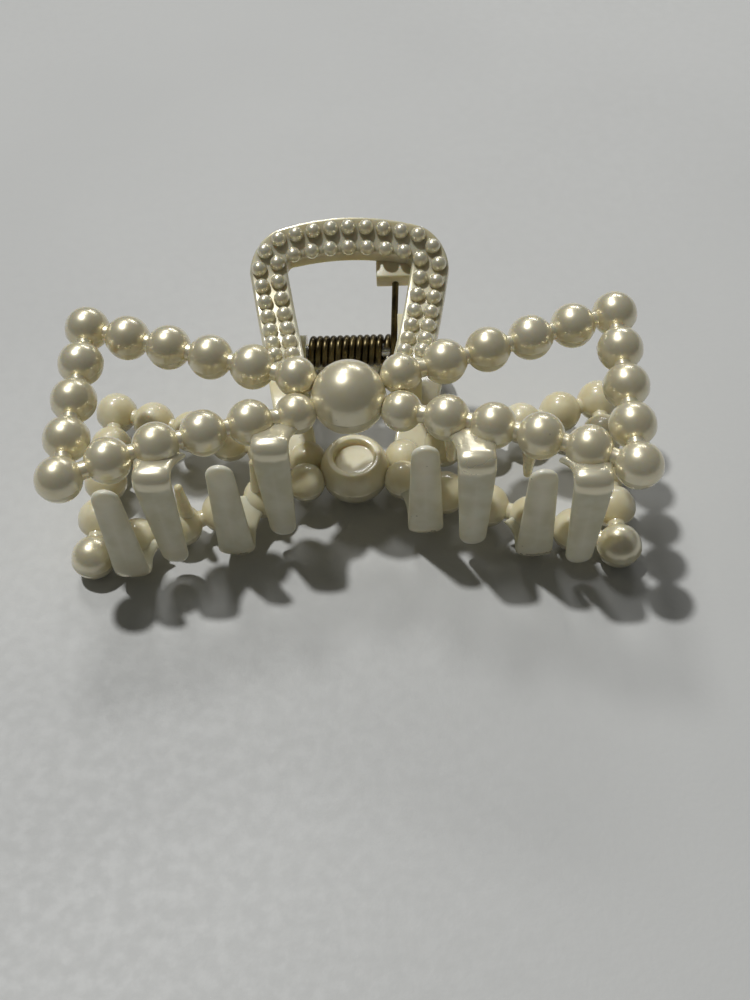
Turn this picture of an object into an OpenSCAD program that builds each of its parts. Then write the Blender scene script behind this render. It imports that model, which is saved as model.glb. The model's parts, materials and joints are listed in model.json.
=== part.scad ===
// Claw hair clip: two identical jaws in the shape of a bow of pearls,
// hinged on a pin and held shut by a torsion spring.
// Each jaw is drawn in the hinge's own axes: X along the hinge, Y towards the
// finger loops, Z out of the plane where the two jaws meet. The closed clip is
// then tipped onto its lower jaw, the way it lies on a table.

/* [Pearl bow] */
// Length over the end pearls
bow_length = 102.4; // [92:0.2:112]
// Distance between the two corner pearls of an end, centre to centre
bow_end_height = 33.5; // [31:0.1:36]
// Height of the bow's pearls above the plane where the jaws meet
bow_rise = 12; // [11.5:0.1:13]
// Distance from the hinge back to the middle of the bow
bow_setback = 20.6; // [20:0.1:22]
// Diameter of a pearl
pearl_d = 8; // [7.4:0.1:8.4]
// Diameter of the four pearls against the knot
inner_pearl_d = 7.2; // [6.6:0.1:7.6]
// Diameter of the large pearl at the knot
knot_d = 13; // [12:0.1:14]
// Diameter of the short neck between two pearls
neck_d = 3.4; // [2.4:0.1:4]
// Depth of the round recess in the back of the knot pearl
knot_recess_depth = 1.4; // [0.8:0.1:2]

/* [Teeth] */
// Width of a tooth at its bend
tooth_root_w = 6.4; // [5:0.1:7]
// Width of a tooth at its tip
tooth_tip_w = 4.8; // [3.4:0.1:5.4]
// Thickness of a tooth at its bend
tooth_root_t = 2.3; // [1.8:0.1:2.6]
// Thickness of a tooth at its tip
tooth_tip_t = 1.8; // [1.2:0.1:2]
// Radius of the bend, on the tooth's middle line
tooth_bend_r = 1.4; // [1.4:0.1:3]
// How far a tooth tip reaches past the plane where the jaws meet
tooth_tip_reach = 12.3; // [10:0.1:13]
// Length of the small inner prongs
prong_length = 11; // [8:0.1:11.5]

/* [Finger loops] */
// Width over the widest part of a loop
loop_width = 36.5; // [35:0.1:38]
// Width over the legs of a loop, where they meet the bow
loop_base_width = 28.2; // [27:0.1:29]
// Width of the bar that a loop is made of
bar_w = 7; // [6.4:0.1:7.4]
// Width of the bar across the end of a loop
bar_end_w = 5.2; // [4.8:0.1:5.8]
// Thickness of the bar
bar_t = 2.4; // [2:0.1:2.8]
// Distance from the hinge to the end of a loop
loop_reach = 15.3; // [14.6:0.1:16]
// Radius of the outward curl of a loop
curl_r = 31.6; // [31:0.1:33]
// Radius of a loop's outer corners
loop_corner_r = 7; // [6:0.1:8]
// Diameter of a seed pearl
seed_d = 2.8; // [2.2:0.1:3]
// Seed pearls in the outer row
seeds_outer = 25; // [21:1:25]
// Seed pearls in the inner row
seeds_inner = 21; // [17:1:21]

/* [Hinge] */
// Diameter of the hinge pin
pin_d = 2.4; // [2:0.1:2.6]
// Running clearance between pin and knuckle, on the radius
pin_clearance = 0.05; // [0.03:0.01:0.08]
// Thickness of a knuckle
knuckle_t = 2; // [1.6:0.1:2.2]
// Outer diameter of a knuckle
knuckle_d = 6.4; // [6:0.1:6.8]
// Gap between two parts side by side on the pin
side_gap = 0.25; // [0.2:0.05:0.4]

/* [Spring] */
// Diameter of the spring wire
wire_d = 1.25; // [1:0.05:1.3]
// Outer diameter of the coil
coil_d = 6; // [5.8:0.1:6.2]
// Turns in the coil, without the end turn
coil_turns = 11; // [9:1:12]
// Clearance of the spring end in its seat, on the radius
seat_clearance = 0.1; // [0.05:0.05:0.2]

/* [Hidden] */

pearl_colour = "#e9e4d2";
tooth_colour = "#d9d8cd";
wire_colour = "#6b5f45";
eps = 0.01;

// Pearl bow. Six pearls run along an edge from corner to knot.
edge_steps = 5;
column_steps = 4;
pearl_r = pearl_d / 2;
bow_corner_x = bow_length / 2 - pearl_r;
bow_corner_y = bow_end_height / 2;
inner_x = knot_d / 2 + 2.55;
far_waist = 4;
near_waist = 2.6;
near_curve = 0.85;
near_dip = 2;
neck_start = 0.3;
knot_drop = 1.6;
knot_back = 4.1;
knot_rim = 1.25;
knot_r = knot_d / 2;
knot_at = [0, -bow_setback + 0.5, bow_rise - knot_drop];

// Share of the way from a corner to the knot
function share(i) = i / edge_steps;
function edge_x(i) = bow_corner_x - (bow_corner_x - inner_x) * share(i);
function far_pearl(i) = [
    edge_x(i),
    -bow_setback + bow_corner_y - (bow_corner_y - far_waist) * share(i),
    bow_rise
];
function near_pearl(i) = [
    edge_x(i),
    -bow_setback - bow_corner_y
        + (bow_corner_y - near_waist) * pow(share(i), near_curve),
    bow_rise - near_dip * pow(max(0, share(i) - 0.4) / 0.6, 1.6)
];
function column_pearl(i) = [
    bow_corner_x,
    -bow_setback + bow_corner_y - bow_end_height * i / column_steps,
    bow_rise
];
far_edge = [for (i = [0 : edge_steps]) far_pearl(i)];
near_edge = [for (i = [0 : edge_steps]) near_pearl(i)];
column = [for (i = [1 : column_steps - 1]) column_pearl(i)];
// Where the near edge runs at a given distance from the middle
function edge_index(x) = (bow_corner_x - abs(x)) / (bow_corner_x - inner_x) * edge_steps;
function near_edge_at(x) = near_pearl(min(edge_steps, max(0, edge_index(x))));

// Teeth, from left to right across the upper jaw. On the lower jaw, which is
// turned over, the same teeth run from right to left.
tooth_x = [
    -edge_x(2), -(edge_x(4) + edge_x(5)) / 2,
    (edge_x(3) + edge_x(4)) / 2 + 0.7, edge_x(1)
];
tooth_out = [7.4, 8.4, 9.4, 7.1];
tooth_lean = [0.1, 0, 0.8, 0.7];
tooth_inset = 1.5;
tooth_flare = 0.8;
tooth_sink = 1;
tooth_crest = 0.3;
tooth_bend_z = bow_rise + tooth_crest - tooth_bend_r;
tooth_rings = 6;
tooth_sides = 16;
tip_rings = 4;
prong_x = [-edge_x(4) - 0.8, edge_x(2) - 1.4];
prong_root_r = 1.7;
prong_tip_r = 0.75;

// Finger loops. A loop is a flat outline pressed onto a cylinder of curl_r.
curl_y = -5.9;
curl_z = bow_rise - 0.5 + curl_r;
loop_foot = -bow_setback + 5;
loop_top_r = 60;
// The outer corner is an arc that meets the leg and the curved end smoothly.
loop_end_y = loop_reach - loop_top_r;
loop_corner_x = loop_width / 2 - loop_corner_r;
loop_shoulder = loop_end_y + sqrt(pow(loop_top_r - loop_corner_r, 2) - pow(loop_corner_x, 2));
loop_corner_turn = atan2(loop_shoulder - loop_end_y, loop_corner_x);
window_corner_r = 1.4;
arc_points = 8;
seed_r = seed_d / 2;
seed_lift = 0.45;
seed_edge = 1.85;
seed_row_gap = 3.05;
seed_foot = 3.8;
function curl_height(y) = curl_z - sqrt(curl_r * curl_r - pow(y - curl_y, 2));
function leg_x(y, inset) =
    loop_base_width / 2 - inset
    + (loop_width - loop_base_width) / 2
    * (y - loop_foot) / (loop_shoulder - loop_foot);
function top_y(x, inset) = loop_end_y + sqrt(pow(loop_top_r - inset, 2) - x * x);

// Hinge, from the middle of the pin outwards
knuckle_r = knuckle_d / 2;
pin_r = pin_d / 2;
bore_r = pin_r + pin_clearance;
pin_head_r = pin_r + 0.7;
pin_head_t = 0.6;

// Spring
wire_r = wire_d / 2;
coil_r = coil_d / 2 - wire_r;
turn_pitch = wire_d + 0.025;
coil_span = coil_turns * turn_pitch + wire_d;
spring_half = (coil_span + side_gap + wire_d) / 2;
coil_steps = 16;
wire_sides = 8;
inner_knuckle_x = spring_half + side_gap;
outer_knuckle_x = inner_knuckle_x + knuckle_t + side_gap;
pin_half = outer_knuckle_x + knuckle_t + side_gap;
end_turn_x = spring_half - wire_r;
// Direction of a spring end from the plane where the jaws meet
spring_angle = 45;
spring_end_length = 14.6;
spring_lean = 3;
seat_hole_spare = 0.4;
end_turn_sweep = 320;
end_turn_steps = 14;

// Spring seats, blocks in the inner corner of each loop
seat_w = 6.6;
seat_depth = 4.6;
seat_t = 3.4;
seat_y = loop_reach - bar_end_w - 2.9;
seat_inner_x = 4.9;
seat_drop = 1.6;

// The closed clip rests on its lower jaw's corner pearls and on the seed
// pearls at the end of the lower loop.
rest_seed = [loop_reach - seed_edge, curl_height(loop_reach - seed_edge) + seed_lift];
rest_pearl = [-bow_setback - bow_corner_y, bow_rise];
rest_run = rest_seed[0] - rest_pearl[0];
rest_rise = rest_seed[1] - rest_pearl[1];
tilt = atan2(rest_rise, rest_run)
    - asin((pearl_r - seed_r) / norm([rest_run, rest_rise]));
function tipped_y(y, z) = y * cos(tilt) - z * sin(tilt);
function tipped_z(y, z) = y * sin(tilt) + z * cos(tilt);
rest_height = pearl_r - tipped_z(rest_pearl[0], -rest_pearl[1]);
front_y = tipped_y(near_edge_at(tooth_x[3])[1] - tooth_out[3] - tooth_root_t / 2, tooth_bend_z);
back_y = tipped_y(loop_reach, -curl_height(loop_reach) + bar_t * 0.2);

module on_table() {
    translate([0, -(front_y + back_y) / 2, rest_height])
        rotate([tilt, 0, 0])
            children();
}

// The lower jaw is the upper jaw turned half a turn about Y.
module placed(lower) {
    on_table() rotate([0, lower ? 180 : 0, 0]) children();
}

// Pearls and necks. A pearl is turned by facing, so that its own seam line
// faces away from the necks.
module pearl_at(p, d, facing = 0) {
    translate(p) rotate([0, 0, facing]) sphere(d = d, $fn = 48);
}

// Neck between two pearls. It starts and ends inside them.
module neck_between(a, b) {
    v = b - a;
    translate(a + v * neck_start)
        rotate([0, acos(v[2] / norm(v)), atan2(v[1], v[0])])
            cylinder(h = norm(v) * (1 - 2 * neck_start), d = neck_d, $fn = 32);
}

// One loop of the bow, on the side where x is positive. The string of pearls
// runs clockwise from the knot and back to it.
module bow_loop() {
    far = [for (i = [edge_steps : -1 : 0]) far_edge[i]];
    string = concat(far, column, near_edge);
    last = len(string) - 1;
    difference() {
        union() {
            for (i = [0 : last]) {
                v = string[min(i + 1, last)] - string[max(i - 1, 0)];
                end = i == 0 || i == last;
                pearl_at(string[i], end ? inner_pearl_d : pearl_d, atan2(v[1], v[0]) + 90);
            }
            for (i = [0 : last - 1]) neck_between(string[i], string[i + 1]);
        }
        pearl_at(knot_at, knot_d);
    }
}

module bow(lower, side) {
    color(pearl_colour)
        placed(lower)
            if (side > 0) bow_loop();
            else mirror([1, 0, 0]) bow_loop();
}

module knot_pearl(lower) {
    color(pearl_colour)
        placed(lower)
            translate(knot_at)
                difference() {
                    sphere(r = knot_r, $fn = 64);
                    translate([-knot_r, -knot_r, -2 * knot_r - knot_back])
                        cube([2 * knot_r, 2 * knot_r, 2 * knot_r]);
                    translate([0, 0, -knot_back - eps])
                        cylinder(
                            h = knot_recess_depth + eps,
                            r = sqrt(knot_r * knot_r - knot_back * knot_back) - knot_rim,
                            $fn = 48
                        );
                }
}

// A tooth leaves its pearl forwards and a little upwards, bends over its crest
// and runs down past the other jaw. Each ring is a rounded rectangle across
// the path.
function ring_point(w, t, a) = [
    w / 2 * sign(cos(a)) * pow(abs(cos(a)), 0.55),
    t / 2 * sign(sin(a)) * pow(abs(sin(a)), 0.7)
];
// One ring: centre in Y and Z, direction of travel, width and thickness
function tooth_ring(x, c, dir, w, t) = [
    for (k = [0 : tooth_sides - 1])
        let (p = ring_point(w, t, 360 * k / tooth_sides))
        [x + p[0], c[0] + p[1] * sin(dir), c[1] - p[1] * cos(dir)]
];
module tooth_body(i) {
    x = tooth_x[i];
    edge = near_edge_at(x);
    out_y = edge[1] - tooth_out[i];
    root = [edge[1] - tooth_inset, edge[2] - tooth_sink];
    bend = [out_y + tooth_bend_r, tooth_bend_z];
    // Angle round the bend at which a line from the root touches it
    rise = root - bend;
    leave = atan2(rise[1], rise[0]) + acos(tooth_bend_r / norm(rise));
    tip = [out_y + tooth_lean[i], -tooth_tip_reach];
    down = atan2(tip[1] - bend[1], tip[0] - out_y);
    long = norm([tip[0] - out_y, tip[1] - bend[1]]);
    rings = concat(
        [tooth_ring(x, root, leave + 90, tooth_root_w + tooth_flare, tooth_root_t)],
        [
            for (k = [0 : tooth_rings])
                let (a = leave + (down + 270 - leave) * k / tooth_rings)
                tooth_ring(
                    x, bend + tooth_bend_r * [cos(a), sin(a)], a + 90,
                    tooth_root_w, tooth_root_t
                )
        ],
        [
            for (k = [1 : tooth_rings])
                let (s = k / tooth_rings)
                tooth_ring(
                    x, [out_y, bend[1]] + s * (long - tooth_tip_w / 3) * [cos(down), sin(down)],
                    down,
                    tooth_root_w + (tooth_tip_w - tooth_root_w) * s,
                    tooth_root_t + (tooth_tip_t - tooth_root_t) * s
                )
        ],
        [
            for (k = [1 : tip_rings])
                let (a = 80 * k / tip_rings)
                tooth_ring(
                    x,
                    [out_y, bend[1]]
                        + (long - tooth_tip_w / 3 * (1 - sin(a))) * [cos(down), sin(down)],
                    down, tooth_tip_w * (0.35 + 0.65 * cos(a)), tooth_tip_t * (0.4 + 0.6 * cos(a))
                )
        ]
    );
    swept(rings, tooth_sides);
}

// Closed skin over a list of rings with the same number of points
module swept(rings, sides) {
    last = len(rings) - 1;
    walls = [
        for (j = [0 : last - 1])
            for (k = [0 : sides - 1])
                let (n = (k + 1) % sides, a = j * sides, b = a + sides)
                each [[a + k, a + n, b + n], [a + k, b + n, b + k]]
    ];
    start = [[for (k = [0 : sides - 1]) sides - 1 - k]];
    finish = [[for (k = [0 : sides - 1]) last * sides + k]];
    polyhedron(points = [for (r = rings) each r], faces = concat(walls, start, finish));
}

module tooth(lower, i) {
    color(tooth_colour) placed(lower) tooth_body(i);
}

// Small round prongs behind the teeth, with ball ends
module inner_prongs(lower) {
    color(pearl_colour)
        placed(lower)
            for (x = prong_x) {
                root = near_edge_at(x);
                translate([x, root[1], root[2] - prong_length]) {
                    cylinder(h = prong_length, r1 = prong_tip_r, r2 = prong_root_r, $fn = 32);
                    sphere(r = prong_tip_r + 0.02, $fn = 32);
                }
            }
}

// Finger loop
function arc(c, r, a, b, n) = [
    for (k = [0 : n]) c + r * [cos(a + (b - a) * k / n), sin(a + (b - a) * k / n)]
];
function mirrored(points) = [
    for (k = [len(points) - 1 : -1 : 0]) [-points[k][0], points[k][1]]
];
function corner_arc(inset) = arc(
    [loop_corner_x, loop_shoulder], loop_corner_r - inset, 0, loop_corner_turn, arc_points
);
// Right half of a line at an inset from the outer edge, from y to the middle
// of the end
function edge_half(inset, y) = concat(
    [[leg_x(y, inset), y]],
    corner_arc(inset),
    outline_top(inset, loop_corner_x)
);
function outline_top(inset, x) = [
    for (k = [arc_points - 1 : -1 : 0]) [x * k / arc_points, top_y(x * k / arc_points, inset)]
];
function loop_outline() = let (half = edge_half(0, loop_foot)) concat(half, mirrored(half));
function window_outline() = let (
    r = window_corner_r,
    corner_y = top_y(leg_x(loop_shoulder, bar_w) - r, bar_end_w) - r,
    half = concat(
        [[leg_x(loop_foot, bar_w), loop_foot - 1], [leg_x(corner_y, bar_w), corner_y]],
        arc([leg_x(corner_y, bar_w) - r, corner_y], r, 15, 75, 4),
        outline_top(bar_end_w, leg_x(corner_y, bar_w) - r)
    )
) concat(half, mirrored(half));

module curled_slab(inner, outer) {
    translate([-loop_width, curl_y, curl_z])
        rotate([0, 90, 0])
            difference() {
                cylinder(h = 2 * loop_width, r = outer, $fn = 128);
                translate([0, 0, -1])
                    cylinder(h = 2 * loop_width + 2, r = inner, $fn = 128);
            }
}

module finger_loop(lower) {
    color(pearl_colour)
        placed(lower)
            intersection() {
                curled_slab(curl_r, curl_r + bar_t);
                linear_extrude(height = curl_z - curl_r / 2)
                    difference() {
                        polygon(loop_outline());
                        polygon(window_outline());
                    }
            }
}

// Seed pearls sit at equal steps along two rows inside the outline.
function row_path(inset) = let (half = edge_half(inset, loop_foot + seed_foot))
    concat(half, [for (p = mirrored(half)) if (p[0] < 0) p]);
function step_lengths(path) = [
    for (k = [1 : len(path) - 1]) norm(path[k] - path[k - 1])
];
function sum_to(list, n) = n <= 0 ? 0 : list[n - 1] + sum_to(list, n - 1);
function along(path, steps, s, k = 0) =
    s <= steps[k] || k == len(steps) - 1
    ? path[k] + (path[k + 1] - path[k]) * min(1, s / steps[k])
    : along(path, steps, s - steps[k], k + 1);

module seed_row(inset, count) {
    path = row_path(inset);
    steps = step_lengths(path);
    total = sum_to(steps, len(steps));
    for (k = [0 : count - 1]) {
        p = along(path, steps, total * k / (count - 1));
        translate([p[0], p[1], curl_height(p[1]) + seed_lift]) sphere(r = seed_r, $fn = 32);
    }
}

module seed_pearls(lower) {
    color(pearl_colour)
        placed(lower)
            intersection() {
                union() {
                    seed_row(seed_edge, seeds_outer);
                    seed_row(seed_edge + seed_row_gap, seeds_inner);
                }
                translate([-loop_width, curl_y, curl_z])
                    rotate([0, 90, 0])
                        cylinder(h = 2 * loop_width, r = curl_r, $fn = 128);
            }
}

// Block that takes the end of the spring. Its hole follows the spring end.
module spring_seat(lower) {
    color(pearl_colour)
        placed(lower)
            difference() {
                translate([seat_inner_x, seat_y, curl_height(seat_y) - seat_drop - seat_t])
                    rotate([12, 0, 0])
                        cube([seat_w, seat_depth, seat_t]);
                spring_end_line(wire_r + seat_clearance, seat_hole_spare);
                on_curl_above();
            }
}

// Everything beyond the underside of the loop
module on_curl_above() {
    translate([-loop_width, curl_y, curl_z])
        rotate([0, 90, 0])
            cylinder(h = 2 * loop_width, r = curl_r + bar_t, $fn = 128);
}

// Knuckles: one inner and one outer, so that two equal jaws interleave
module knuckle_plate(x) {
    translate([x, 0, 0])
        rotate([90, 0, 90])
            linear_extrude(height = knuckle_t)
                hull() {
                    circle(r = knuckle_r, $fn = 48);
                    translate([-8.6, bow_rise - 2]) square([8, 1.2]);
                }
}

module knuckles(lower) {
    color(pearl_colour)
        placed(lower)
            difference() {
                union() {
                    knuckle_plate(inner_knuckle_x);
                    knuckle_plate(-outer_knuckle_x - knuckle_t);
                }
                on_curl_above();
                translate([-pin_half - 1, 0, 0])
                    rotate([0, 90, 0])
                        cylinder(h = 2 * pin_half + 2, r = bore_r, $fn = 48);
            }
}

module hinge_pin() {
    color("silver")
        on_table()
            rotate([0, 90, 0]) {
                translate([0, 0, -pin_half]) cylinder(h = 2 * pin_half, r = pin_r, $fn = 48);
                for (s = [-1, 1])
                    translate([0, 0, s * (pin_half + pin_head_t / 2)])
                        cylinder(h = pin_head_t, r = pin_head_r, center = true, $fn = 48);
            }
}

// Straight end of the spring, along its tangent to the coil
module spring_end_line(r, extra = 0) {
    translate([end_turn_x, 0, 0])
        rotate([spring_angle, 0, 0])
            translate([0, 0, coil_r])
                rotate([0, 0, -spring_lean])
                    rotate([-90, 0, 0])
                        cylinder(h = spring_end_length + extra, r = r, $fn = 32);
}

// Section of the wire at angle a round the pin and at x along it
function wire_ring(a, x) = [
    for (k = [0 : wire_sides - 1])
        let (b = -360 * k / wire_sides, r = coil_r + wire_r * cos(b))
        [x + wire_r * sin(b), r * cos(a), r * sin(a)]
];

module spring_coil() {
    color(wire_colour)
        on_table()
            swept([
                for (k = [0 : coil_turns * coil_steps])
                    let (turn = k / coil_steps)
                    wire_ring(-spring_angle - 90 - 360 * turn, turn * turn_pitch - end_turn_x)
            ], wire_sides);
}

// The straight end in the lower jaw's seat
module spring_lower_end() {
    color(wire_colour) on_table() rotate([0, 180, 0]) spring_end_line(wire_r);
}

// The end turn and straight end that move with the upper jaw
module spring_upper_end() {
    leave_angle = spring_angle + 90;
    leg = spring_end_length * [
        sin(spring_lean),
        cos(spring_lean) * cos(spring_angle),
        cos(spring_lean) * sin(spring_angle)
    ];
    color(wire_colour)
        on_table()
            swept([
                for (k = [0 : end_turn_steps])
                    wire_ring(leave_angle + end_turn_sweep * (1 - k / end_turn_steps), end_turn_x),
                [for (p = wire_ring(leave_angle, end_turn_x)) p + leg]
            ], wire_sides);
}

bow(true, 1);  // lower_bow_left
bow(true, -1);  // lower_bow_right
knot_pearl(true);  // lower_knot_pearl
tooth(true, 3);  // lower_tooth_1
tooth(true, 2);  // lower_tooth_2
tooth(true, 1);  // lower_tooth_3
tooth(true, 0);  // lower_tooth_4
inner_prongs(true);  // lower_inner_prongs
finger_loop(true);  // lower_finger_loop
seed_pearls(true);  // lower_seed_pearls
spring_seat(true);  // lower_spring_seat
knuckles(true);  // lower_knuckles
hinge_pin();
spring_coil();
spring_lower_end();
spring_upper_end();
bow(false, -1);  // upper_bow_left
bow(false, 1);  // upper_bow_right
knot_pearl(false);  // upper_knot_pearl
tooth(false, 0);  // upper_tooth_1
tooth(false, 1);  // upper_tooth_2
tooth(false, 2);  // upper_tooth_3
tooth(false, 3);  // upper_tooth_4
inner_prongs(false);  // upper_inner_prongs
finger_loop(false);  // upper_finger_loop
seed_pearls(false);  // upper_seed_pearls
spring_seat(false);  // upper_spring_seat
knuckles(false);  // upper_knuckles
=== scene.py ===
import json
import math

import bmesh
import bpy
import numpy as np
from mathutils import Matrix, Vector


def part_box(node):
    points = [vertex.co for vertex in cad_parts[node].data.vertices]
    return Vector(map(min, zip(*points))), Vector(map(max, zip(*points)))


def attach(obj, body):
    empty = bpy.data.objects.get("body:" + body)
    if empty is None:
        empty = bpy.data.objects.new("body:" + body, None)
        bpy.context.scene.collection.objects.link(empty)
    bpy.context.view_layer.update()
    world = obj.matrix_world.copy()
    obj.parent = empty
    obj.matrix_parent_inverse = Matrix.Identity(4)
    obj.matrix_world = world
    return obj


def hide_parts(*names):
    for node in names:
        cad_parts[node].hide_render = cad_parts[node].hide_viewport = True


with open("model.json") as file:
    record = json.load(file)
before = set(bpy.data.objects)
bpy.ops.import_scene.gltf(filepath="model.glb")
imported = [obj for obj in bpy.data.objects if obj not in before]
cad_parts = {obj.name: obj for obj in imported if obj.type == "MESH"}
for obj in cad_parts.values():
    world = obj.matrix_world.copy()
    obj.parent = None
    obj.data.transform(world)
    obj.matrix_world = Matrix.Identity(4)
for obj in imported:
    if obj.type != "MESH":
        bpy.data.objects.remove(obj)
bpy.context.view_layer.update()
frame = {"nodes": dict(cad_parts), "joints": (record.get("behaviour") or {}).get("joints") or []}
scene = bpy.context.scene

# ---------------------------------------------------------------------------
# The clip lying shut on a table. Both jaws come out of one mould, so each is
# drawn once in the mould's own axes: X along the hinge pin, Y to the finger
# loops, Z out of the mould. The lower jaw is the same jaw turned over.
MM = 0.001
JAWS = ("upper", "lower")
hinge = Vector(frame["joints"][0]["pos_m"])
grip = Vector()
for jaw in JAWS:
    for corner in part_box(f"{jaw}_knot_pearl"):
        grip += corner / 4
lean = math.atan2(hinge.z - grip.z, hinge.y - grip.y)
mould = Matrix.Translation(hinge) @ Matrix.Rotation(lean, 4, "X") @ Matrix.Scale(MM, 4)
placed = {"upper": mould, "lower": mould @ Matrix.Rotation(math.pi, 4, "Y")}


# ---------------------------------------------------------------------------
# Table and light. A pale matt table, one small lamp behind on the left that
# throws clear shadows to the front right, and two dim windows behind.
TABLE_SIZE = 4.0
TABLE_COLOUR = (0.60, 0.605, 0.59)
LAMP_TO = Vector((-0.27, 0.26, 0.925))
LAMP_STRENGTH = 1.7
LAMP_WIDTH = math.radians(3.4)
SKY_AT = Vector((-0.25, 0.95, 1.15))
SKY_SIZE = (0.30, 0.22)
SKY_POWER = 3.4
LIGHTS_AIM = Vector((0, 0, 0.02))
WINDOW_AT = Vector((0.28, 1.25, 0.72))
WINDOW_SIZE = (0.60, 0.10)
WINDOW_POWER = 2.2
ROOM_COLOUR = (0.90, 0.91, 0.88)
ROOM_STRENGTH = 0.078


def new_material(name):
    """A new material, its node tree and its Principled shader."""
    material = bpy.data.materials.new(name)
    material.use_nodes = True
    return material, material.node_tree, material.node_tree.nodes["Principled BSDF"]


def add(tree, kind, inputs=None, **settings):
    """Adds one node. inputs gives its sockets a value, or a link from another socket."""
    node = tree.nodes.new(kind)
    for key, value in settings.items():
        setattr(node, key, value)
    for key, value in (inputs or {}).items():
        feed(tree, node, key, value)
    return node


def feed(tree, node, key, value):
    """Sets one socket to a value, or links it from another socket."""
    if isinstance(value, bpy.types.NodeSocket):
        tree.links.new(value, node.inputs[key])
    else:
        node.inputs[key].default_value = value


def maths(tree, operation, a, b=0.0, clamp=False):
    """One Math node's result."""
    node = add(tree, "ShaderNodeMath", {0: a, 1: b}, operation=operation, use_clamp=clamp)
    return node.outputs[0]


def ramp(tree, value, low, high, out_low=0.0, out_high=1.0):
    """value, from low to high, mapped smoothly onto out_low to out_high."""
    node = add(
        tree, "ShaderNodeMapRange",
        {"Value": value, "From Min": low, "From Max": high, "To Min": out_low, "To Max": out_high},
        interpolation_type="SMOOTHSTEP",
    )
    return node.outputs["Result"]


def mixed(tree, factor, a, b):
    """Colour a turning to colour b as factor goes from 0 to 1."""
    node = add(tree, "ShaderNodeMix", data_type="RGBA")
    feed(tree, node, 0, factor)
    for key, value in ((6, a), (7, b)):
        if not isinstance(value, bpy.types.NodeSocket):
            value = (*value, 1.0)
        feed(tree, node, key, value)
    return node.outputs[2]


def noise(tree, scale, detail=3.0, where=None):
    """A noise value in the piece's own coordinates. scale counts waves in a metre."""
    if where is None:
        where = add(tree, "ShaderNodeTexCoord").outputs["Object"]
    node = add(tree, "ShaderNodeTexNoise", {"Vector": where, "Scale": scale, "Detail": detail})
    return node.outputs["Fac"]


def roughen(tree, shader, height, strength, distance):
    """Tilts a material's surface with a height pattern. distance is in metres."""
    bump = add(
        tree, "ShaderNodeBump", {"Height": height, "Strength": strength, "Distance": distance}
    )
    feed(tree, shader, "Normal", bump.outputs["Normal"])


table_material, tree, shader = new_material("table_top")
cloud = ramp(tree, noise(tree, 9.0, 5.0), 0.35, 0.7)
pale = mixed(tree, cloud, TABLE_COLOUR, [c * 0.95 for c in TABLE_COLOUR])
feed(tree, shader, "Base Color", pale)
feed(tree, shader, "Roughness", ramp(tree, noise(tree, 400.0), 0.3, 0.7, 0.5, 0.62))
roughen(tree, shader, noise(tree, 900.0, 4.0), 0.12, 0.0003)

bm = bmesh.new()
bmesh.ops.create_grid(bm, x_segments=8, y_segments=8, size=TABLE_SIZE / 2)
table_mesh = bpy.data.meshes.new("table")
bm.to_mesh(table_mesh)
bm.free()
table_mesh.materials.append(table_material)
table = bpy.data.objects.new("table", table_mesh)
scene.collection.objects.link(table)


def add_light(name, kind, at, aim, **settings):
    """A light at one point that shines towards another."""
    data = bpy.data.lights.new(name, kind)
    for key, value in settings.items():
        setattr(data, key, value)
    light = bpy.data.objects.new(name, data)
    light.location = at
    light.rotation_euler = (aim - at).to_track_quat("-Z", "Y").to_euler()
    scene.collection.objects.link(light)


add_light("lamp", "SUN", LAMP_TO, Vector(), energy=LAMP_STRENGTH, angle=LAMP_WIDTH)
for name, at, power, size in (
    ("sky", SKY_AT, SKY_POWER, SKY_SIZE), ("window", WINDOW_AT, WINDOW_POWER, WINDOW_SIZE)
):
    add_light(
        name, "AREA", at, LIGHTS_AIM, energy=power, shape="RECTANGLE",
        size=size[0], size_y=size[1],
    )
world = bpy.data.worlds.new("room")
world.use_nodes = True
background = world.node_tree.nodes["Background"]
background.inputs["Color"].default_value = (*ROOM_COLOUR, 1.0)
background.inputs["Strength"].default_value = ROOM_STRENGTH
scene.world = world
scene.view_settings.view_transform = "Standard"


# ---------------------------------------------------------------------------
# Camera. It looks down over the front edge of the clip from close by, a
# little off centre, with the horizon slightly tipped.
CAMERA_AT = Vector((0.00994, -0.14650, 0.16882))
CAMERA_DOWN = math.radians(50.651)
CAMERA_TURN = math.radians(2.669)
CAMERA_ROLL = math.radians(-3.425)
LENS = 41.28
FILM_HEIGHT = 36.0

camera_data = bpy.data.cameras.new("camera")
camera_data.sensor_fit = "VERTICAL"
camera_data.sensor_height = FILM_HEIGHT
camera_data.lens = LENS
camera_data.clip_start = 0.01
camera = bpy.data.objects.new("camera", camera_data)
camera.matrix_world = (
    Matrix.Translation(CAMERA_AT)
    @ Matrix.Rotation(CAMERA_TURN, 4, "Z")
    @ Matrix.Rotation(math.pi / 2 - CAMERA_DOWN, 4, "X")
    @ Matrix.Rotation(CAMERA_ROLL, 4, "Z")
)
scene.collection.objects.link(camera)
scene.camera = camera


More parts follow.
